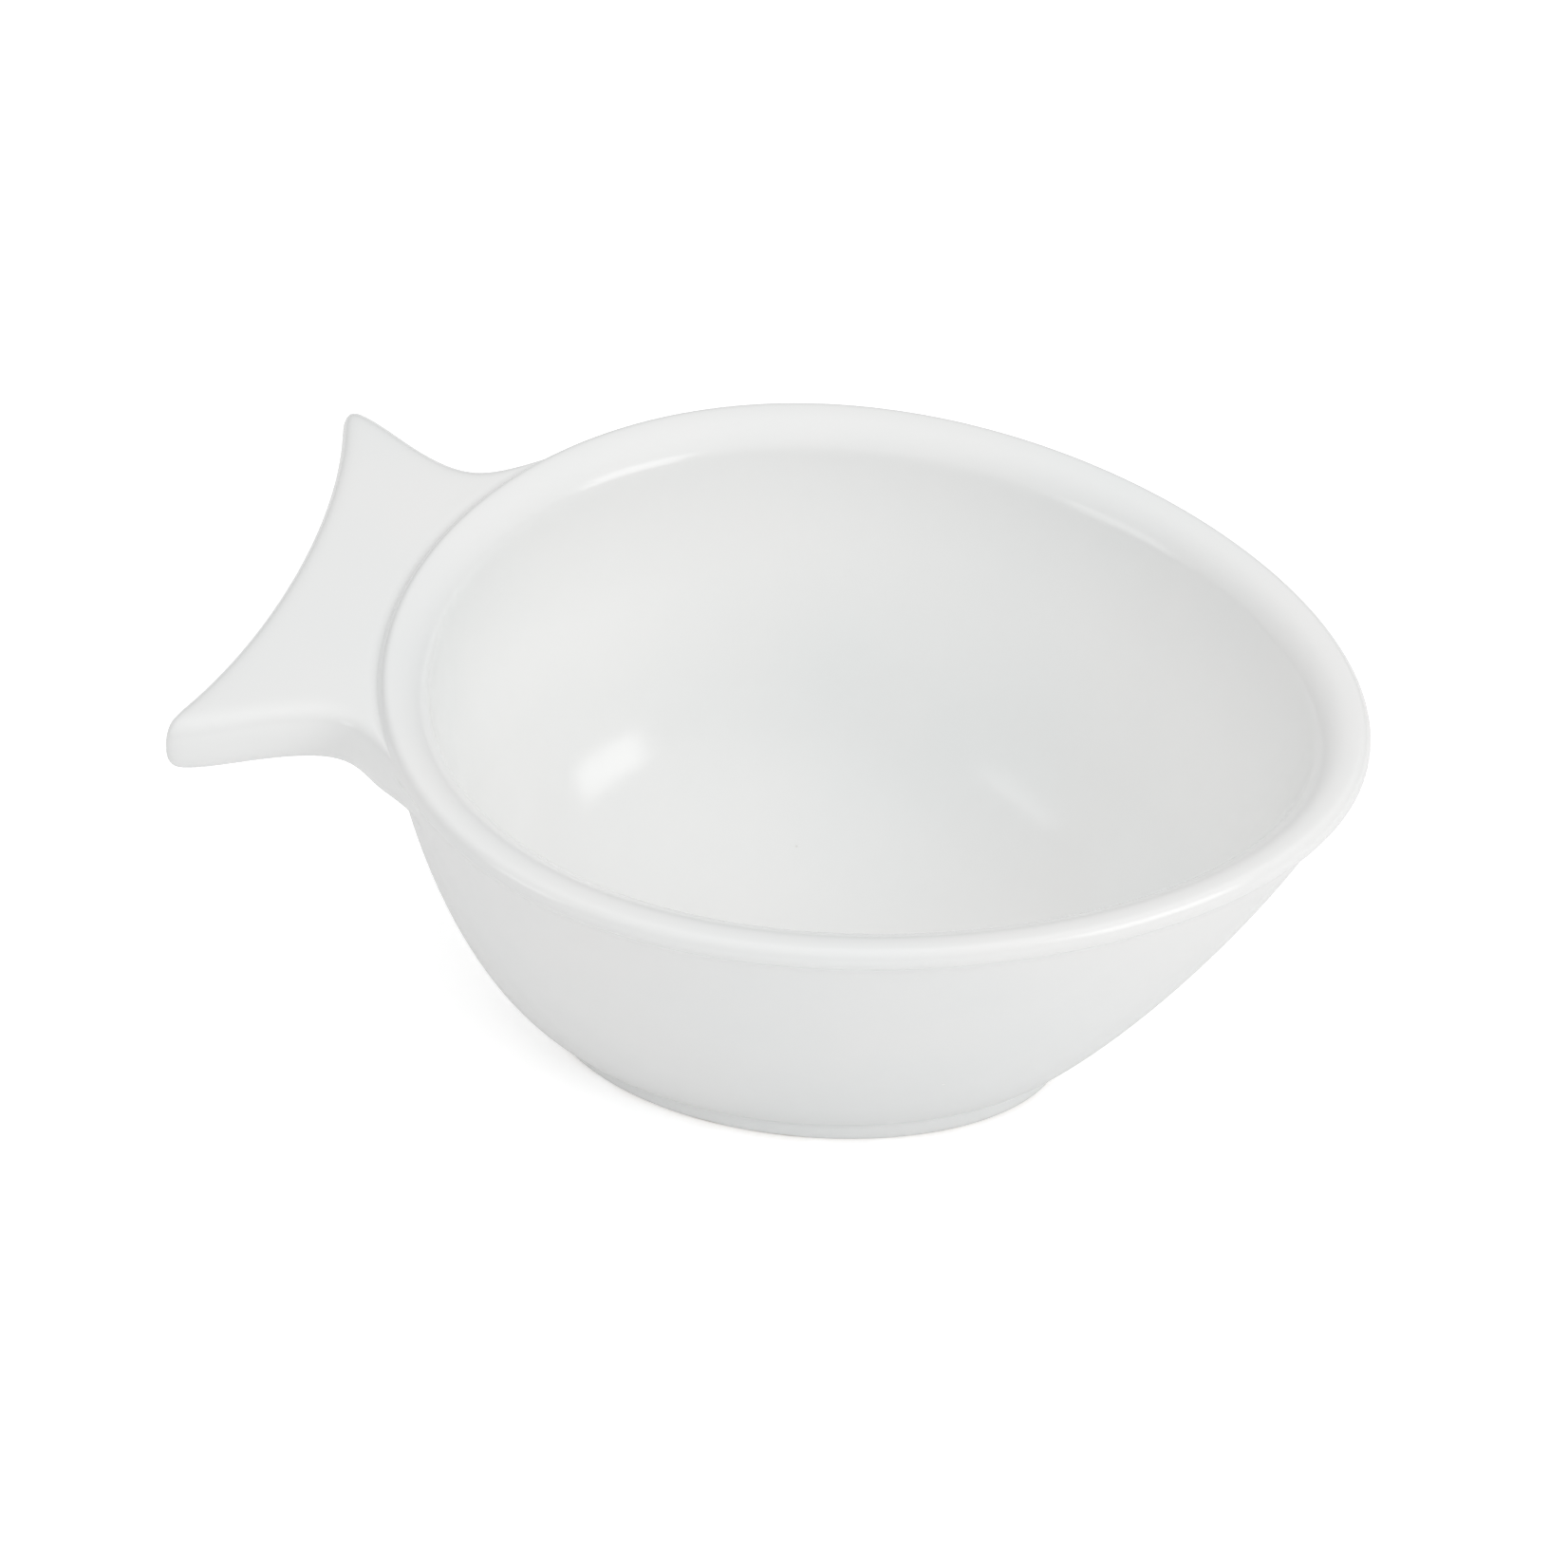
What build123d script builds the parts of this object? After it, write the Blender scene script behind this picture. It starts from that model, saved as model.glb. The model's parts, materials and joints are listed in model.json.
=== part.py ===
from build123d import *
import os
from math import cos, pi, radians, sin, sqrt, tan

# Fish-shaped evaporating dish: an egg-shaped porcelain bowl with its pointed end (the nose) toward +X,
# a flat fan tail at the back (-X) to hold it by, and a low oval ring to stand on.
# Millimetres, +Z up. The origin is the centre of the foot, on the surface the dish stands on.

# Bowl
bowl_length = 99.6        # over the rim, from the nose to the back
bowl_width = 84.4         # over the rim, at the middle of its length
nose_taper = 0.14         # share by which widths shrink from the middle of the rim to the nose
rim_height = 48.0         # top of the rim above the standing surface
wall_thickness = 4.2      # measured level
floor_thickness = 4.4
back_fullness = 1.8       # of the wall at the back; 1 is straight, more is fuller low down
nose_fullness = 1.17
side_fullness = 1.09
cavity_round = 14.0       # rounding between the inside wall and the floor

# Rim
bead_overhang = 0.7       # the rim stands out from the wall by this
bead_height = 2.6
bead_top_round = 1.1
bead_under_round = 0.4
mouth_round = 5.0         # rounding from the top of the rim into the bowl
mouth_start = 30          # the rounding takes over where the wall leans out by this (degrees)
mouth_end = 70            # and meets the flat top of the rim at this lean

# Foot ring
foot_length = 56.0
foot_width = 37.0
foot_height = 3.0
foot_ring_width = 3.6
foot_step = 0.7           # the bowl's underside stands out past the ring by this
foot_round = 0.8

# Tail
tail_length = 15.4        # from the back of the rim to the tips
tail_span = 64.6          # between the tips' corners, before they are rounded
tail_sweep = 0.5          # slope of the sides at the tips
tail_hollow = 5.0         # the trailing edge curves in this far between the tips
tail_neck_width = 40.4
tail_neck_gap = 1.5       # from the narrowest place to the back of the rim
tail_root_share = 0.375   # the neck spreads to meet the wall this share of the way round from the nose
tail_root_depth = 1.0     # and ends this far inside it
tail_root_turn = 36       # direction of its sides there, from the length of the dish (degrees)
tail_thickness = 6.6
tail_drop = 0.8           # top of the tail below the top of the rim
tail_tip_round = 3.0
tail_edge_round = 2.4

nose_x = (bowl_length + tail_length) / 2
bowl_x = nose_x - bowl_length / 2
back_x = nose_x - bowl_length
tip_x = back_x - tail_length
outline_points = 28
flank_levels = (0.0, 0.06, 0.18, 0.38, 0.62, 0.82, 1.0)
floor_levels = (0.0, 0.04, 0.15, 0.35, 0.65, 1.0)
wall_levels = (0.0, 0.33, 0.67, 1.0)
mouth_turns = (mouth_start, 42, 54, 63, mouth_end, 90)


def egg(half_length, half_width, centre_x, z):
    """Closed egg outline at one level, narrowing toward the nose."""
    points = []
    for i in range(outline_points):
        turn = 2 * pi * i / outline_points
        x = centre_x + half_length * cos(turn)
        narrowing = 1 - nose_taper * (x - bowl_x) / (bowl_length / 2)
        points.append(Vector(x, half_width * sin(turn) * narrowing, z))
    return Wire([Edge.make_spline(points, periodic=True)])


def flank(z, inset=0.0):
    """Outline of the outside wall at height z, drawn in all round by the inset."""
    rise = min(max((z - foot_height) / (rim_height - foot_height), 0.0), 1.0)
    low_end = foot_length / 2 + foot_step
    low_side = foot_width / 2 + foot_step
    nose = between(low_end, nose_x - bead_overhang, rise, nose_fullness)
    back = between(-low_end, back_x + bead_overhang, rise, back_fullness)
    side = between(low_side, bowl_width / 2 - bead_overhang, rise, side_fullness)
    return egg((nose - back) / 2 - inset, side - inset, (nose + back) / 2, z)


def between(low, top, rise, fullness):
    """Reach of the wall at a share of its height, going from the low value to the top one."""
    return low + (top - low) * (1 - (1 - rise) ** fullness) ** (1 / fullness)


def bowl_outside():
    """Solid filled body of the bowl, with the rim's bead round its top."""
    top = rim_height - bead_height / 2
    heights = [foot_height + (top - foot_height) * s for s in flank_levels]
    body = Solid.make_loft([flank(z) for z in heights])
    edge = egg(bowl_length / 2, bowl_width / 2, bowl_x, rim_height - bead_height)
    bead = Solid.extrude(Face(edge), Vector(0, 0, bead_height))
    bead = bead.fillet(bead_under_round, bead.faces().sort_by(Axis.Z)[0].edges())
    bead = bead.fillet(bead_top_round, bead.faces().sort_by(Axis.Z)[-1].edges())
    return body + bead


def floor_round(s):
    """Outline of the inside at share s of the rounding between the floor and the wall."""
    drop = cavity_round * (1 - s)
    inset = wall_thickness + cavity_round - sqrt(cavity_round**2 - drop**2)
    return flank(foot_height + floor_thickness + cavity_round * s, inset)


def mouth(turn):
    """Outline of the mouth where it leans out by this many degrees, past the rim's top if need be."""
    start = rim_height - mouth_round * (1 - sin(radians(mouth_start)))
    bend = min(turn, mouth_end)
    level = rim_height - mouth_round * (1 - sin(radians(bend)))
    flare = mouth_round * (cos(radians(mouth_start)) - cos(radians(bend)))
    if turn > mouth_end:
        rise = rim_height - level
        level += 2 * rise
        flare += 2 * rise * tan(radians(mouth_end))
    return flank(start, wall_thickness - flare).moved(Pos(0, 0, level - start))


def bowl_cavity():
    """The hollow in three lengths: rounding up from a flat floor, the wall, the flaring mouth."""
    wall_foot = foot_height + floor_thickness + cavity_round
    wall_top = rim_height - mouth_round * (1 - sin(radians(mouth_start)))
    wall = [flank(wall_foot + (wall_top - wall_foot) * s, wall_thickness) for s in wall_levels]
    return [
        Solid.make_loft([floor_round(s) for s in floor_levels]),
        Solid.make_loft(wall),
        Solid.make_loft([mouth(turn) for turn in mouth_turns]),
    ]


def tail_outline(corner_x):
    """Fan seen from above: neck spreading into the bowl, rounded tips, hollow trailing edge."""
    corner = Vector(corner_x, tail_span / 2)
    neck = Vector(back_x - tail_neck_gap, tail_neck_width / 2)
    root = flank(rim_height - tail_drop - tail_thickness, tail_root_depth) @ tail_root_share
    root = Vector(root.X, root.Y)
    spread = Vector(cos(radians(tail_root_turn)), sin(radians(tail_root_turn)))
    side = Spline(corner, neck, tangents=[Vector(1, -tail_sweep), Vector(1, 0)])
    gusset = Spline(neck, root, tangents=[Vector(1, 0), spread])
    half = [side, gusset]
    other = [edge.mirror(Plane.XZ) for edge in half]
    trailing = ThreePointArc(corner, (corner_x + tail_hollow, 0), (corner_x, -tail_span / 2))
    outline = make_face(half + other + [trailing, Line(gusset @ 1, other[-1] @ 1)])
    tips = outline.vertices().filter_by(lambda v: v.X < corner_x + 0.01)
    return fillet(tips, tail_tip_round)


def make_tail(outside):
    """Fan-shaped slab, cut to sit against the bowl."""
    top = rim_height - tail_drop
    corner_x = tip_x
    for _ in range(3):
        outline = tail_outline(corner_x)
        corner_x += tip_x - outline.bounding_box().min.X
    slab = extrude(Pos(0, 0, top - tail_thickness) * outline, tail_thickness)
    rims = slab.edges().filter_by(lambda e: abs(e.center().Z - (top - tail_thickness / 2)) > 0.1)
    end = max(e.bounding_box().max.X for e in rims)
    rims = rims.filter_by(lambda e: e.bounding_box().min.X < end - 0.1)
    return slab.fillet(tail_edge_round, rims) - outside


def make_foot():
    """Oval ring under the bowl."""
    outer = Face(egg(foot_length / 2, foot_width / 2, 0, 0))
    inner_length = foot_length / 2 - foot_ring_width
    inner_width = foot_width / 2 - foot_ring_width
    ring = Solid.extrude(outer, Vector(0, 0, foot_height))
    ring -= Solid.extrude(Face(egg(inner_length, inner_width, 0, 0)), Vector(0, 0, foot_height))
    return ring.fillet(foot_round, ring.faces().sort_by(Axis.Z)[0].edges())


os.makedirs("parts", exist_ok=True)
whole = bowl_outside()
nodes = {
    "bowl": whole - bowl_cavity(),
    "tail_handle": make_tail(whole),
    "foot_ring": make_foot(),
}
for name, shape in nodes.items():
    export_step(shape, f"parts/{name}.step")
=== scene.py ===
import json
from math import cos, radians, sin, sqrt

import bpy
from bpy.props import FloatProperty, FloatVectorProperty, IntProperty, PointerProperty
from bpy.types import Operator, Panel, PropertyGroup
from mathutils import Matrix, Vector

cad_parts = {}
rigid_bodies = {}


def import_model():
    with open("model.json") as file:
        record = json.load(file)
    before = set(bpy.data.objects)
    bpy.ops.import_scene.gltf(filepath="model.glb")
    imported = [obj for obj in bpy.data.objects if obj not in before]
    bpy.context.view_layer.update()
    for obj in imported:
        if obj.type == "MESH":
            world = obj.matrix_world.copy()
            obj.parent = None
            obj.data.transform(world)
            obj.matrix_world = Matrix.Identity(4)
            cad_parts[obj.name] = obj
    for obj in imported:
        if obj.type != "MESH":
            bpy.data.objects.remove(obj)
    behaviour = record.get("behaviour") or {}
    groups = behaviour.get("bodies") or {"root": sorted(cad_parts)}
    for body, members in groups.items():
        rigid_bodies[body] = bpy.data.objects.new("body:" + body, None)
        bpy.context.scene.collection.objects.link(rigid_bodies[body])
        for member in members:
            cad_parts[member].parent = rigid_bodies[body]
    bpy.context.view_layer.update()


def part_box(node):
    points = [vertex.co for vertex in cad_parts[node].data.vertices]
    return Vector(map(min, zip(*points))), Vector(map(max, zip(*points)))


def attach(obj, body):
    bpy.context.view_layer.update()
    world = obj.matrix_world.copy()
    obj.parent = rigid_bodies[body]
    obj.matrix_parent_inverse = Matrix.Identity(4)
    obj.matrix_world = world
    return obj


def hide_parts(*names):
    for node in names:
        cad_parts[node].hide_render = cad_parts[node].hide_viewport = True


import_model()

bl_info = {
    "name": "Fish-shaped evaporating dish",
    "version": (1, 0, 0),
    "blender": (4, 5, 0),
    "location": "View3D > Sidebar > Dish",
    "description": "Builds a glazed porcelain dish shaped like a fish, on a pale stage",
    "category": "Object",
}

BOWL_LOW, BOWL_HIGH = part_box("bowl")
TAIL_LOW, TAIL_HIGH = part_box("tail_handle")
FOOT_LOW, FOOT_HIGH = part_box("foot_ring")
MM = 0.001
ROOT = 8  # the tail grows from this many faces each side of the back
SMOOTHING = 2  # times each face is split in four

# Heights (mm) of the outlines up the outside of the wall, and down the inside to its rounding.
OUTSIDE_HEIGHTS = (3.3, 3.8, 4.8, 6.6, 9.4, 13, 17.5, 22, 26.5, 31, 34.8, 37.8)
INSIDE_HEIGHTS = (43.5, 39.5, 35, 30.5, 26.5, 23.4)
# The turn from the underside into the wall (mm in from it).
UNDER_TURN = (2.6, 1.0, 0.25)
# The wall (mm down from the top, mm out from its slope) and then the rim (mm down, mm in) at the tail.
TAIL_WALL = ((8.2, 0.0), (6.8, 0.0), (5.3, 0.0), (3.9, 0.05), (2.9, 0.35))
TAIL_RIM = ((2.1, 0.15), (1.15, 0.03))
# The top of the rim (mm down, mm in), and how far the rounding into the bowl leans out (degrees).
RIM_TOP = ((0.46, 0.36), (0.1, 0.8), (0.02, 1.25))
MOUTH_LEANS = (76, 64, 52, 40, 30)
MOUTH_FOOT = radians(MOUTH_LEANS[-1])
# Shares of the rounding's height where it turns into the floor, of the flat floor's size, and of
# the underside's.
FLOOR_TURN = (1.0, 0.72, 0.48, 0.28, 0.13, 0.04)
FLAT_SHARES = (0.95, 0.6, 0.2)
UNDER_SHARES = (0.2, 0.6)
# One corner of the foot ring from the side down: mm in from the side, share of its height.
FOOT_CORNER = ((0.0, 0.62), (0.03, 0.3), (0.35, 0.07), (1.0, 0.0))

# Each step of the tail (mm): its middle forward of the tips, its sides forward of that, its half width.
TAIL_STEPS = (
    (14.6, 6.5, 24.4),
    (13.6, 5.2, 22.3),
    (12.1, 4.2, 20.9),
    (10.2, 2.9, 21.0),
    (8.2, 0.2, 23.2),
    (6.4, -2.1, 25.8),
    (4.9, -4.0, 27.4),
)
# The rows of its edge from the underside up: height below the tail's top (mm) and share of its width.
TAIL_ROWS = ((6.6, 0.93), (6.0, 0.975), (4.7, 0.998), (3.3, 1.0), (1.9, 0.998), (0.6, 0.975), (0.0, 0.93))
# The rounding at its end: mm further out, share of its width, share of its height.
TAIL_END = ((-0.8, 0.99, 0.86), (-0.35, 0.99, 0.6))
# The hidden faces that close the bowl and the tail are set back by this, inside the wall.
SET_BACK = (0.9 * MM, 0, -0.7 * MM)

# Sizes of the glaze's and the clay's patterns, in repeats to a metre.
PINHOLE_CELLS = 420
THICKNESS_CLOUDS = 28
DULL_PATCHES = 95
GLAZE_WAVES = 70
GLAZE_RIPPLE = 900
WIPED_WAVER = 160
CLAY_GRAIN = 2600
PINHOLE_RARITY = 0.985  # the share of cells without a pinhole
PINHOLE_EDGES = (0.02, 0.09)  # in cells, from its floor to its brim
PINHOLE_MIDDLE_TINT = (0.45, 0.42, 0.38, 1)  # mixed in darker towards the middle of each pinhole
DARK_CLAY = (0.5, 0.46, 0.4, 1)
GLAZE_IOR = 1.52
BUMP_STRENGTH = 0.25
BUMP_HEIGHT = 0.15 * MM

FLOOR_RADIUS = 4
FLOOR_COLOUR = (0.9, 0.9, 0.9, 1)
FLOOR_ROUGHNESS = 0.9
WHITE = (1, 1, 1, 1)
SENSOR_WIDTH = 36  # millimetres, as Blender keeps it
# Name, place from the point the camera looks at, size and power of each lamp.
LAMPS = (
    ("left", (-1.02, -0.8, 0.46), 0.45, 1.2),
    ("right", (1.15, -0.5, 0.62), 0.75, 5.2),
)


class DishShape(PropertyGroup):
    around: IntProperty(name="Faces around", description="Faces round the bowl", default=80, min=24)
    half_width: FloatProperty(
        name="Half width", description="Of the rim, at the middle of its length",
        default=42.2 * MM, unit="LENGTH",
    )
    nose_taper: FloatProperty(
        name="Nose taper", description="Share by which widths shrink from the middle to the nose",
        default=0.14, subtype="FACTOR",
    )
    back_fullness: FloatProperty(
        name="Back fullness", description="Of the wall at the back; 1 is straight", default=1.8
    )
    nose_fullness: FloatProperty(
        name="Nose fullness", description="Of the wall at the nose; 1 is straight", default=1.17
    )
    side_fullness: FloatProperty(
        name="Side fullness", description="Of the wall's two sides; 1 is straight", default=1.09
    )
    wall: FloatProperty(name="Wall", description="Level thickness", default=4.2 * MM, unit="LENGTH")
    floor: FloatProperty(name="Floor", description="Thickness of the floor", default=4.4 * MM, unit="LENGTH")
    floor_rounding: FloatProperty(
        name="Floor rounding", description="Between the inside wall and the floor",
        default=14 * MM, unit="LENGTH",
    )
    roll: FloatProperty(
        name="Rim roll", description="How far the rim stands out from the wall", default=0.7 * MM,
        unit="LENGTH",
    )
    mouth_rounding: FloatProperty(
        name="Mouth rounding", description="From the top of the rim into the bowl",
        default=5 * MM, unit="LENGTH",
    )
    foot_step: FloatProperty(
        name="Foot step", description="The bowl stands out past the foot ring by this",
        default=0.7 * MM, unit="LENGTH",
    )
    foot_half_width: FloatProperty(
        name="Foot half width", description="Before the taper", default=18.5 * MM, unit="LENGTH"
    )
    foot_ring_width: FloatProperty(
        name="Foot ring width", description="Across the standing face", default=3.6 * MM, unit="LENGTH"
    )


class DishFinish(PropertyGroup):
    glaze: FloatVectorProperty(
        name="Glaze", description="Colour of the glaze", subtype="COLOR", size=3,
        default=(0.93, 0.93, 0.922), min=0, max=1,
    )
    thick_glaze: FloatVectorProperty(
        name="Thick glaze", description="Colour where the glaze has run thicker", subtype="COLOR",
        size=3, default=(0.9, 0.915, 0.912), min=0, max=1,
    )
    gloss: FloatProperty(
        name="Glaze roughness", description="0 is a mirror", default=0.16, min=0, max=1, subtype="FACTOR"
    )
    bisque: FloatVectorProperty(
        name="Bisque", description="Bare fired clay under the foot", subtype="COLOR", size=3,
        default=(0.72, 0.69, 0.64), min=0, max=1,
    )


class DishStage(PropertyGroup):
    azimuth: FloatProperty(
        name="View azimuth", description="Turn of the camera round the dish",
        default=radians(17.11), subtype="ANGLE",
    )
    elevation: FloatProperty(
        name="View elevation", description="Height of the camera above the horizon",
        default=radians(41), subtype="ANGLE",
    )
    distance: FloatProperty(name="View distance", description="To the dish", default=0.696, unit="LENGTH")
    lens: FloatProperty(name="Lens", description="Focal length in millimetres", default=160.7)
    top_light: FloatProperty(name="Top light", description="Brightness straight above", default=1.1)
    low_light: FloatProperty(name="Low light", description="Brightness at the horizon", default=0.1)
    bounce: FloatProperty(name="Bounce", description="Light the floor adds to the dish", default=0.06)
    floor_glow: FloatProperty(name="Floor glow", description="Brightness of the floor", default=0.42)


def deselect(obj=None):
    if bpy.context.object and bpy.context.object.mode != "OBJECT":
        bpy.ops.object.mode_set(mode="OBJECT")
    bpy.ops.object.select_all(action="DESELECT")
    if obj:
        obj.select_set(True)
        bpy.context.view_layer.objects.active = obj


def pick(obj, verts):
    """Enters edit mode with just these vertices, and the edges and faces between them, selected."""
    bpy.ops.object.mode_set(mode="OBJECT")
    mesh, wanted = obj.data, set(verts)
    for vertex in mesh.vertices:
        vertex.select = vertex.index in wanted
    for edge in mesh.edges:
        edge.select = wanted.issuperset(edge.vertices)
    for face in mesh.polygons:
        face.select = wanted.issuperset(face.vertices)
    bpy.ops.object.mode_set(mode="EDIT")


def selected(obj):
    bpy.ops.object.mode_set(mode="OBJECT")
    found = [v.index for v in obj.data.vertices if v.select]
    bpy.ops.object.mode_set(mode="EDIT")
    return found


def apply_modifier(obj, kind, **values):
    deselect(obj)
    modifier = obj.modifiers.new(kind.title(), kind)
    for name, value in values.items():
        setattr(modifier, name, value)
    bpy.ops.object.modifier_apply(modifier=modifier.name)


def settle(obj):
    """Puts the object's origin at the world's, with its place in its mesh."""
    deselect(obj)
    bpy.ops.object.transform_apply(location=True, rotation=True, scale=True)


def middle_x():
    return (BOWL_LOW.x + BOWL_HIGH.x) / 2


def flank(shape, z, inset=0.0):
    """Half length, half width, centre and height of the wall's outline at z, before the taper."""
    rise = min(max((z - FOOT_HIGH.z) / (BOWL_HIGH.z - FOOT_HIGH.z), 0), 1)

    def between(low, top, fullness):
        return low + (top - low) * (1 - (1 - rise) ** fullness) ** (1 / fullness)

    nose = between(FOOT_HIGH.x + shape.foot_step, BOWL_HIGH.x - shape.roll, shape.nose_fullness)
    back = between(FOOT_LOW.x - shape.foot_step, BOWL_LOW.x + shape.roll, shape.back_fullness)
    low_side, top_side = shape.foot_half_width + shape.foot_step, shape.half_width - shape.roll
    side = between(low_side, top_side, shape.side_fullness)
    return (nose - back) / 2 - inset, side - inset, (nose + back) / 2, z


def rim(shape, drop, inset):
    """Outline on the rim, drawn in from its outermost edge and down from its top."""
    length = (BOWL_HIGH.x - BOWL_LOW.x) / 2
    return length - inset, shape.half_width - inset, middle_x(), BOWL_HIGH.z - drop


def mouth(shape, lean):
    """Outline on the rounding from the rim into the bowl, where it leans out by this angle."""
    start = BOWL_HIGH.z - shape.mouth_rounding * (1 - sin(MOUTH_FOOT))
    flare = shape.mouth_rounding * (cos(MOUTH_FOOT) - cos(radians(lean)))
    length, width, centre, _ = flank(shape, start, shape.wall - flare)
    return length, width, centre, BOWL_HIGH.z - shape.mouth_rounding * (1 - sin(radians(lean)))


def shrunk(ring, share):
    return ring[0] * share, ring[1] * share, ring[2], ring[3]


def outside_rings(shape):
    """From the middle of the underside up the wall to where the tail starts."""
    under = flank(shape, FOOT_HIGH.z)
    rings = [shrunk(under, share) for share in UNDER_SHARES]
    rings += [flank(shape, FOOT_HIGH.z, inset * MM) for inset in UNDER_TURN]
    return rings + [flank(shape, z * MM) for z in OUTSIDE_HEIGHTS]


def tail_rings(shape):
    """The stretch of wall and rim that the tail grows from."""
    wall = [flank(shape, BOWL_HIGH.z - drop * MM, -out * MM) for drop, out in TAIL_WALL]
    return wall + [rim(shape, drop * MM, inset * MM) for drop, inset in TAIL_RIM]


def inside_rings(shape):
    """Over the rim, down the inside wall and in to the middle of the floor."""
    rings = [rim(shape, drop * MM, inset * MM) for drop, inset in RIM_TOP]
    rings += [mouth(shape, lean) for lean in MOUTH_LEANS]
    rings += [flank(shape, z * MM, shape.wall) for z in INSIDE_HEIGHTS]
    bottom = FOOT_HIGH.z + shape.floor
    for up in FLOOR_TURN:
        drop = shape.floor_rounding * (1 - up)
        inset = shape.wall + shape.floor_rounding - sqrt(shape.floor_rounding**2 - drop**2)
        rings.append(flank(shape, bottom + shape.floor_rounding * up, inset))
    flat = flank(shape, bottom, shape.wall + shape.floor_rounding)
    return rings + [shrunk(flat, share) for share in FLAT_SHARES]


def turn_rings(name, rings, around):
    """Draws one outline after another from a circle, each extruded from the last."""
    deselect()
    length, width, centre, z = rings[0]
    bpy.ops.mesh.primitive_circle_add(
        vertices=around, radius=length, fill_type="NOTHING", location=(middle_x(), 0, z)
    )
    obj = bpy.context.object
    obj.name = obj.data.name = name
    bpy.ops.object.mode_set(mode="EDIT")
    bpy.ops.mesh.select_all(action="SELECT")
    bpy.ops.transform.translate(value=(centre - middle_x(), 0, 0))
    bpy.ops.transform.resize(value=(1, width / length, 1), center_override=(centre, 0, z))
    for before, after in zip(rings, rings[1:]):
        step = (after[2] - before[2], 0, after[3] - before[3])
        bpy.ops.mesh.extrude_region_move(TRANSFORM_OT_translate={"value": step})
        bpy.ops.transform.resize(
            value=(after[0] / before[0], after[1] / before[1], 1),
            center_override=(after[2], 0, after[3]),
        )
    bpy.ops.object.mode_set(mode="OBJECT")
    return obj


def narrow_to_nose(obj, shape):
    length = obj.dimensions.x
    half = (BOWL_HIGH.x - BOWL_LOW.x) / 2
    apply_modifier(
        obj, "SIMPLE_DEFORM", deform_method="TAPER", deform_axis="X",
        factor=-shape.nose_taper * length / half, lock_z=True,
    )


def cap(obj, ring, around):
    """Closes the open end at this ring."""
    pick(obj, range(ring * around, (ring + 1) * around))
    bpy.ops.mesh.edge_face_add()
    bpy.ops.object.mode_set(mode="OBJECT")


def grow_tail(obj, shape, first_ring):
    """Pulls the tail out of the back of the wall, a loop at a time. Gives its first new vertex."""
    around, back = shape.around, shape.around // 4
    columns = range(back - ROOT, back + ROOT + 1)
    rows = [[(first_ring + r) * around + c for c in columns] for r in range(len(TAIL_ROWS))]
    heights = [obj.data.vertices[row[0]].co.z for row in rows]
    inner = (len(rows) - 2) * (len(columns) - 2)
    first_new = len(obj.data.vertices) - inner
    pick(obj, [i for row in rows for i in row])
    bpy.ops.mesh.extrude_region_move(TRANSFORM_OT_translate={"value": (0, 0, 0)})
    block = selected(obj)
    grown = [[] for _ in rows]
    for i in block:
        z = obj.data.vertices[i].co.z
        nearest = min(range(len(rows)), key=lambda r: abs(heights[r] - z))
        grown[nearest].append(i)
    ahead, forward, half = TAIL_STEPS[0]
    x = TAIL_LOW.x + ahead * MM
    for row, (drop, share) in zip(grown, TAIL_ROWS):
        points = [obj.data.vertices[i].co for i in row]
        end = min(p.x for p in points)
        reach = max(p.x for p in points) - end
        spread = max(p.y for p in points)
        height = points[0].z
        target = TAIL_HIGH.z - drop * MM
        pick(obj, row)
        bpy.ops.transform.translate(value=(x - end, 0, target - height))
        bpy.ops.transform.resize(
            value=(forward * MM / reach, half * MM * share / spread, 1),
            center_override=(x, 0, target),
        )
    pick(obj, block)
    for before, after in zip(TAIL_STEPS, TAIL_STEPS[1:]):
        bpy.ops.mesh.extrude_region_move(
            TRANSFORM_OT_translate={"value": ((after[0] - before[0]) * MM, 0, 0)}
        )
        bpy.ops.transform.resize(
            value=(after[1] / before[1], after[2] / before[2], 1),
            center_override=(TAIL_LOW.x + after[0] * MM, 0, 0),
        )
    middle = (TAIL_HIGH.z + TAIL_LOW.z) / 2
    for move, width, height in TAIL_END:
        bpy.ops.mesh.extrude_region_move(TRANSFORM_OT_translate={"value": (move * MM, 0, 0)})
        bpy.ops.transform.resize(value=(1, width, height), center_override=(0, 0, middle))
    bpy.ops.object.mode_set(mode="OBJECT")
    return first_new


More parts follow.
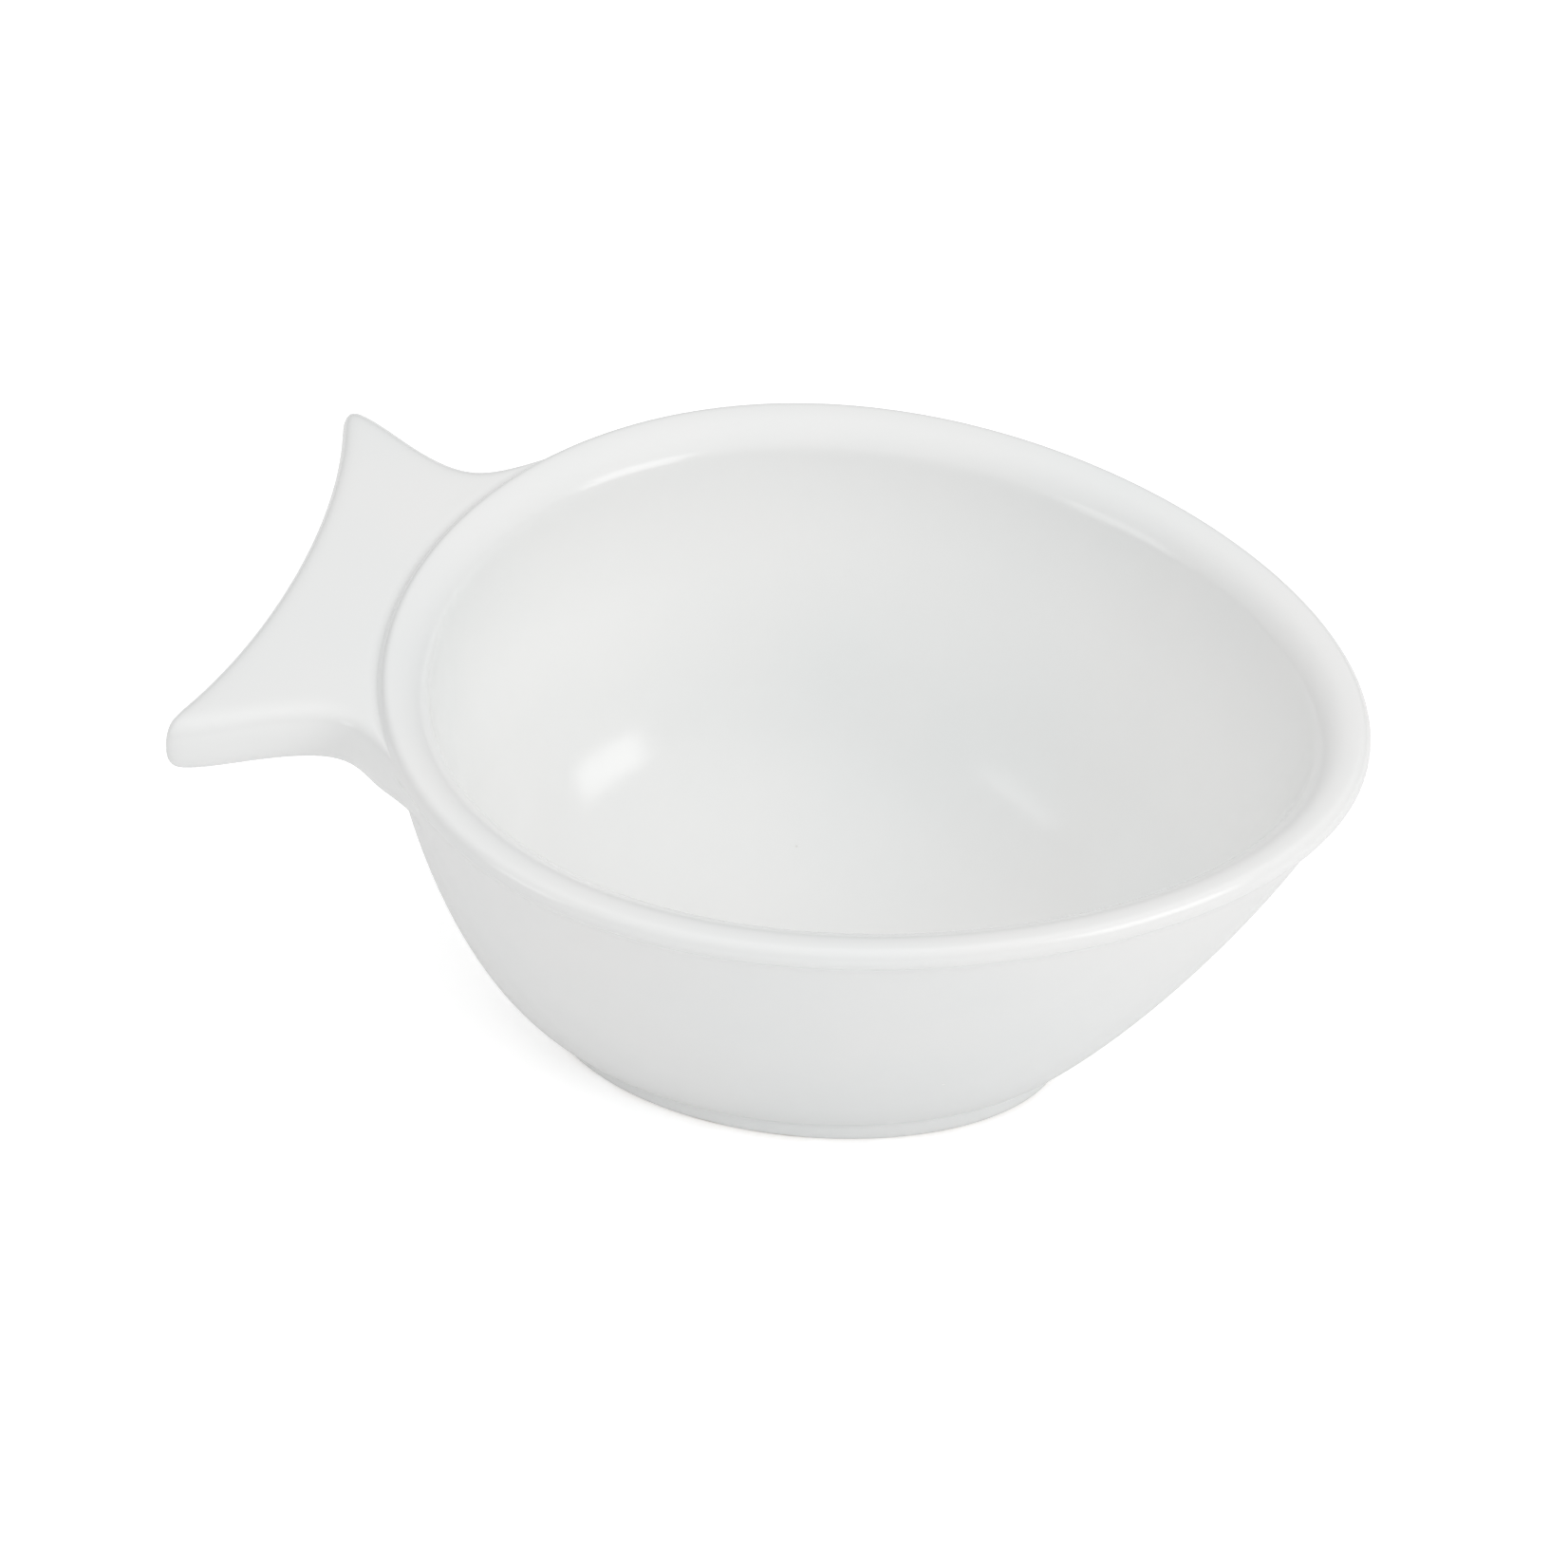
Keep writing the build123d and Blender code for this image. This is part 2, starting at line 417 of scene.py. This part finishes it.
def part_tail(obj, first_new):
    """Parts the tail from the bowl where the tail's own faces start, and closes both inside the wall."""
    for face in obj.data.polygons:
        face.material_index = int(any(i >= first_new for i in face.vertices))
    apply_modifier(obj, "SUBSURF", levels=SMOOTHING, render_levels=SMOOTHING)
    bpy.ops.object.shade_smooth()
    deselect(obj)
    bpy.ops.object.duplicate()
    whole = bpy.context.object
    deselect(obj)
    bpy.ops.object.mode_set(mode="EDIT")
    bpy.ops.mesh.separate(type="MATERIAL")
    bpy.ops.object.mode_set(mode="OBJECT")
    parts = sorted(bpy.context.selected_objects, key=lambda o: min(v.co.x for v in o.data.vertices))
    for part in parts:
        deselect(part)
        bpy.ops.object.mode_set(mode="EDIT")
        bpy.ops.mesh.select_mode(type="EDGE")
        bpy.ops.mesh.select_all(action="DESELECT")
        bpy.ops.mesh.select_non_manifold()
        bpy.ops.mesh.fill_grid(span=2 * ROOT * 2**SMOOTHING)
        bpy.ops.mesh.select_less()
        bpy.ops.transform.translate(value=SET_BACK)
        closing = set(selected(part))
        bpy.ops.mesh.select_all(action="SELECT")
        bpy.ops.mesh.normals_make_consistent(inside=False)
        bpy.ops.mesh.select_mode(type="VERT")
        bpy.ops.object.mode_set(mode="OBJECT")
        bpy.ops.object.shade_smooth()
        seen = part.vertex_groups.new(name="seen")
        seen.add([v.index for v in part.data.vertices if v.index not in closing], 1, "REPLACE")
        apply_modifier(
            part, "DATA_TRANSFER", object=whole, use_loop_data=True, vertex_group="seen",
            data_types_loops={"CUSTOM_NORMAL"}, loop_mapping="NEAREST_POLYNOR",
        )
        part.vertex_groups.clear()
    bpy.data.objects.remove(whole)
    return parts


def finish_piece(obj, name, node, material):
    obj.name = obj.data.name = name
    obj.data.materials.clear()
    obj.data.materials.append(material)
    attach(obj, "root")
    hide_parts(node)


def noise(tree, place, scale, detail, rough=0.5):
    node = tree.nodes.new("ShaderNodeTexNoise")
    node.inputs["Scale"].default_value = scale
    node.inputs["Detail"].default_value = detail
    node.inputs["Roughness"].default_value = rough
    tree.links.new(place, node.inputs["Vector"])
    return node.outputs["Fac"]


def scaled(tree, value, low, high, out_low, out_high):
    node = tree.nodes.new("ShaderNodeMapRange")
    for socket, number in zip(("From Min", "From Max", "To Min", "To Max"), (low, high, out_low, out_high)):
        node.inputs[socket].default_value = number
    tree.links.new(value, node.inputs["Value"])
    return node.outputs["Result"]


def maths(tree, kind, *values):
    node = tree.nodes.new("ShaderNodeMath")
    node.operation = kind
    feed(tree, zip(node.inputs, values))
    return node.outputs[0]


def blend(tree, share, first, second):
    node = tree.nodes.new("ShaderNodeMix")
    node.data_type = "RGBA"
    feed(tree, ((node.inputs["Factor"], share), (node.inputs["A"], first), (node.inputs["B"], second)))
    return node.outputs["Result"]


def feed(tree, pairs):
    """Links each socket to an output, or sets it to a constant."""
    for socket, value in pairs:
        if isinstance(value, bpy.types.NodeSocket):
            tree.links.new(value, socket)
        else:
            socket.default_value = value


def start_group(name, inputs):
    """A group with these inputs that gives a surface's colour, roughness and height."""
    group = bpy.data.node_groups.new(name, "ShaderNodeTree")
    for label, kind, value in inputs:
        socket = group.interface.new_socket(label, in_out="INPUT", socket_type=kind)
        socket.default_value = value
    for label, kind in (
        ("Color", "NodeSocketColor"), ("Roughness", "NodeSocketFloat"), ("Height", "NodeSocketFloat"),
    ):
        group.interface.new_socket(label, in_out="OUTPUT", socket_type=kind)
    put_in, put_out = group.nodes.new("NodeGroupInput"), group.nodes.new("NodeGroupOutput")
    return group, put_in, put_out, group.nodes.new("ShaderNodeTexCoord").outputs["Object"]


def glaze_group():
    """Uneven thickness, tiny pinholes and the slow waves of a fired glaze."""
    found = bpy.data.node_groups.get("fired glaze")
    if found:
        return found
    group, put_in, put_out, place = start_group("fired glaze", (
        ("Thin", "NodeSocketColor", (0.93, 0.93, 0.92, 1)),
        ("Thick", "NodeSocketColor", (0.9, 0.91, 0.91, 1)),
        ("Gloss", "NodeSocketFloat", 0.12),
    ))
    nodes, links = group.nodes, group.links

    cells = nodes.new("ShaderNodeTexVoronoi")
    cells.inputs["Scale"].default_value = PINHOLE_CELLS
    links.new(place, cells.inputs["Vector"])
    chosen = nodes.new("ShaderNodeSeparateColor")
    links.new(cells.outputs["Color"], chosen.inputs["Color"])
    rare = maths(group, "GREATER_THAN", chosen.outputs[0], PINHOLE_RARITY)
    pit = maths(group, "MULTIPLY", scaled(group, cells.outputs["Distance"], *PINHOLE_EDGES, 1, 0), rare)

    thickness = scaled(group, noise(group, place, THICKNESS_CLOUDS, 3), 0.35, 0.7, 0, 1)
    body = blend(group, thickness, put_in.outputs["Thin"], put_in.outputs["Thick"])
    # Each pinhole is tinted darker brown-grey towards its middle, where its dent is deepest.
    specked = blend(group, maths(group, "MULTIPLY", pit, 0.35), body, PINHOLE_MIDDLE_TINT)
    links.new(specked, put_out.inputs["Color"])

    dull = scaled(group, noise(group, place, DULL_PATCHES, 4, 0.6), 0.3, 0.75, 0, 0.06)
    worn = maths(group, "ADD", dull, maths(group, "MULTIPLY", pit, 0.3))
    links.new(maths(group, "ADD", put_in.outputs["Gloss"], worn), put_out.inputs["Roughness"])

    ripple = maths(group, "MULTIPLY", noise(group, place, GLAZE_RIPPLE, 2), 0.05)
    waves = maths(group, "ADD", noise(group, place, GLAZE_WAVES, 2), ripple)
    dents = maths(group, "MULTIPLY", pit, 0.5)
    links.new(maths(group, "SUBTRACT", waves, dents), put_out.inputs["Height"])
    return group


def bare_foot_group():
    """Wiped strip of bare clay on the face the dish stands on, with a wavering edge."""
    found = bpy.data.node_groups.get("bare foot")
    if found:
        return found
    group, put_in, put_out, place = start_group("bare foot", (
        ("Glaze", "NodeSocketColor", (0.93, 0.93, 0.92, 1)),
        ("Clay", "NodeSocketColor", (0.72, 0.69, 0.64, 1)),
        ("Roughness", "NodeSocketFloat", 0.12),
        ("Height", "NodeSocketFloat", 0.5),
        ("Wiped", "NodeSocketFloat", 0.45 * MM),
    ))
    height = group.nodes.new("ShaderNodeSeparateXYZ")
    group.links.new(place, height.inputs[0])
    waver = scaled(group, noise(group, place, WIPED_WAVER, 3), 0.3, 0.7, -0.3 * MM, 0.3 * MM)
    above = maths(group, "SUBTRACT", maths(group, "ADD", height.outputs["Z"], waver), put_in.outputs["Wiped"])
    bare = scaled(group, above, -0.06 * MM, 0.06 * MM, 1, 0)
    grain = noise(group, place, CLAY_GRAIN, 2)
    clay = blend(group, scaled(group, grain, 0.35, 0.7, 0, 0.35), put_in.outputs["Clay"], DARK_CLAY)
    group.links.new(blend(group, bare, put_in.outputs["Glaze"], clay), put_out.inputs["Color"])
    rough = maths(group, "ADD", put_in.outputs["Roughness"], maths(group, "MULTIPLY", bare, 0.55))
    group.links.new(rough, put_out.inputs["Roughness"])
    level = maths(group, "MULTIPLY", bare, maths(group, "SUBTRACT", grain, 1.0))
    group.links.new(maths(group, "ADD", put_in.outputs["Height"], level), put_out.inputs["Height"])
    return group


def glaze_material(name, finish, wiped=False):
    """Glazed porcelain; when wiped, bare clay on the standing face."""
    material = bpy.data.materials.new(name)
    material.use_nodes = True
    nodes, links = material.node_tree.nodes, material.node_tree.links
    shader = nodes["Principled BSDF"]
    shader.inputs["IOR"].default_value = GLAZE_IOR
    glaze = nodes.new("ShaderNodeGroup")
    glaze.node_tree = glaze_group()
    glaze.inputs["Thin"].default_value = (*finish.glaze, 1)
    glaze.inputs["Thick"].default_value = (*finish.thick_glaze, 1)
    glaze.inputs["Gloss"].default_value = finish.gloss
    last = glaze
    if wiped:
        last = nodes.new("ShaderNodeGroup")
        last.node_tree = bare_foot_group()
        last.inputs["Clay"].default_value = (*finish.bisque, 1)
        for made, taken in (("Color", "Glaze"), ("Roughness", "Roughness"), ("Height", "Height")):
            links.new(glaze.outputs[made], last.inputs[taken])
    bump = nodes.new("ShaderNodeBump")
    bump.inputs["Strength"].default_value = BUMP_STRENGTH
    bump.inputs["Distance"].default_value = BUMP_HEIGHT
    links.new(last.outputs["Height"], bump.inputs["Height"])
    links.new(bump.outputs["Normal"], shader.inputs["Normal"])
    links.new(last.outputs["Color"], shader.inputs["Base Color"])
    links.new(last.outputs["Roughness"], shader.inputs["Roughness"])
    return material


class DISH_OT_bowl_and_tail(Operator):
    """Draw the bowl from its outlines, pull the tail out of its back, then part the two"""

    bl_idname = "dish.bowl_and_tail"
    bl_label = "Bowl and tail"

    def execute(self, context):
        shape, finish = context.scene.dish_shape, context.scene.dish_finish
        lower = outside_rings(shape)
        rings = lower + tail_rings(shape) + inside_rings(shape)
        obj = turn_rings("bowl", rings, shape.around)
        cap(obj, 0, shape.around)
        cap(obj, len(rings) - 1, shape.around)
        narrow_to_nose(obj, shape)
        settle(obj)
        deselect(obj)
        bpy.ops.object.mode_set(mode="EDIT")
        bpy.ops.mesh.select_all(action="SELECT")
        bpy.ops.mesh.normals_make_consistent(inside=False)
        first_new = grow_tail(obj, shape, len(lower))
        tail, bowl = part_tail(obj, first_new)
        finish_piece(bowl, "glazed_bowl", "bowl", glaze_material("bowl glaze", finish))
        finish_piece(tail, "glazed_tail", "tail_handle", glaze_material("tail glaze", finish))
        return {"FINISHED"}


class DISH_OT_foot_ring(Operator):
    """Draw the oval foot ring, bare where it stands"""

    bl_idname = "dish.foot_ring"
    bl_label = "Foot ring"

    def execute(self, context):
        shape, finish = context.scene.dish_shape, context.scene.dish_finish
        length = (FOOT_HIGH.x - FOOT_LOW.x) / 2
        width, across, top = shape.foot_half_width, shape.foot_ring_width, FOOT_HIGH.z
        section = [(0.0, top)] + [(inset * MM, up * top) for inset, up in FOOT_CORNER]
        section += [(across / 2, 0)]
        section += [(across - inset * MM, up * top) for inset, up in reversed(FOOT_CORNER)]
        section += [(across, top), (across / 2, top)]
        rings = [(length - inset, width - inset, 0, z) for inset, z in section]
        obj = turn_rings("foot", rings, shape.around)
        last = (len(rings) - 1) * shape.around
        pick(obj, [*range(shape.around), *range(last, last + shape.around)])
        bpy.ops.mesh.select_mode(type="EDGE")
        bpy.ops.mesh.bridge_edge_loops()
        bpy.ops.mesh.select_mode(type="VERT")
        bpy.ops.mesh.select_all(action="SELECT")
        bpy.ops.mesh.normals_make_consistent(inside=False)
        bpy.ops.object.mode_set(mode="OBJECT")
        narrow_to_nose(obj, shape)
        settle(obj)
        apply_modifier(obj, "SUBSURF", levels=SMOOTHING, render_levels=SMOOTHING)
        bpy.ops.object.shade_smooth()
        finish_piece(obj, "standing_foot", "foot_ring", glaze_material("foot glaze", finish, wiped=True))
        return {"FINISHED"}


class DISH_OT_stage(Operator):
    """Set the pale floor, the soft lights and the camera"""

    bl_idname = "dish.stage"
    bl_label = "Stage"

    def execute(self, context):
        stage = context.scene.dish_stage
        deselect()
        bpy.ops.mesh.primitive_circle_add(
            vertices=96, radius=FLOOR_RADIUS, fill_type="NGON", location=(0, 0, 0)
        )
        floor = bpy.context.object
        floor.name = "floor"
        paint = bpy.data.materials.new("pale floor")
        paint.use_nodes = True
        nodes, links = paint.node_tree.nodes, paint.node_tree.links
        shader = nodes["Principled BSDF"]
        shader.inputs["Base Color"].default_value = FLOOR_COLOUR
        shader.inputs["Roughness"].default_value = FLOOR_ROUGHNESS
        shader.inputs["Emission Color"].default_value = WHITE
        seen = nodes.new("ShaderNodeLightPath")
        glow = scaled(paint.node_tree, seen.outputs["Is Camera Ray"], 0, 1, stage.bounce, stage.floor_glow)
        links.new(glow, shader.inputs["Emission Strength"])
        floor.data.materials.append(paint)

        world = bpy.data.worlds.new("soft room")
        context.scene.world = world
        world.use_nodes = True
        sky = world.node_tree
        sky.nodes["Background"].inputs["Color"].default_value = WHITE
        up = sky.nodes.new("ShaderNodeSeparateXYZ")
        sky.links.new(sky.nodes.new("ShaderNodeTexCoord").outputs["Generated"], up.inputs[0])
        light = scaled(sky, up.outputs["Z"], 0, 1, stage.low_light, stage.top_light)
        sky.links.new(light, sky.nodes["Background"].inputs["Strength"])

        aim = Vector((0.6 * MM, -8.0 * MM, BOWL_HIGH.z - 9.5 * MM))
        for name, place, size, watts in LAMPS:
            deselect()
            spot = aim + Vector(place)
            bpy.ops.object.light_add(type="AREA", location=spot)
            lamp = bpy.context.object
            lamp.name = name
            lamp.data.shape = "SQUARE"
            lamp.data.size = size
            lamp.data.energy = watts
            lamp.rotation_euler = (aim - spot).to_track_quat("-Z", "Y").to_euler()

        back = Vector((
            sin(stage.azimuth) * cos(stage.elevation),
            -cos(stage.azimuth) * cos(stage.elevation),
            sin(stage.elevation),
        ))
        bpy.ops.object.camera_add(location=aim + back * stage.distance)
        camera = bpy.context.object
        camera.rotation_euler = (-back).to_track_quat("-Z", "Y").to_euler()
        camera.data.lens = stage.lens
        camera.data.sensor_width = SENSOR_WIDTH
        camera.data.clip_start, camera.data.clip_end = 0.01, 20
        context.scene.camera = camera
        context.scene.view_settings.view_transform = "Standard"
        return {"FINISHED"}


class DISH_PT_panel(Panel):
    bl_idname = "DISH_PT_panel"
    bl_label = "Evaporating dish"
    bl_space_type = "VIEW_3D"
    bl_region_type = "UI"
    bl_category = "Dish"

    def draw(self, context):
        for operator in OPERATORS:
            self.layout.operator(operator.bl_idname)
        for group in (context.scene.dish_shape, context.scene.dish_finish, context.scene.dish_stage):
            box = self.layout.box()
            for name in group.__annotations__:
                box.prop(group, name)


OPERATORS = (DISH_OT_bowl_and_tail, DISH_OT_foot_ring, DISH_OT_stage)
CLASSES = (DishShape, DishFinish, DishStage, *OPERATORS, DISH_PT_panel)


def register():
    for cls in CLASSES:
        bpy.utils.register_class(cls)
    bpy.types.Scene.dish_shape = PointerProperty(type=DishShape)
    bpy.types.Scene.dish_finish = PointerProperty(type=DishFinish)
    bpy.types.Scene.dish_stage = PointerProperty(type=DishStage)


def unregister():
    del bpy.types.Scene.dish_shape, bpy.types.Scene.dish_finish, bpy.types.Scene.dish_stage
    for cls in reversed(CLASSES):
        bpy.utils.unregister_class(cls)


def main():
    register()
    bpy.ops.dish.bowl_and_tail()
    bpy.ops.dish.foot_ring()
    bpy.ops.dish.stage()


if __name__ == "__main__":
    main()
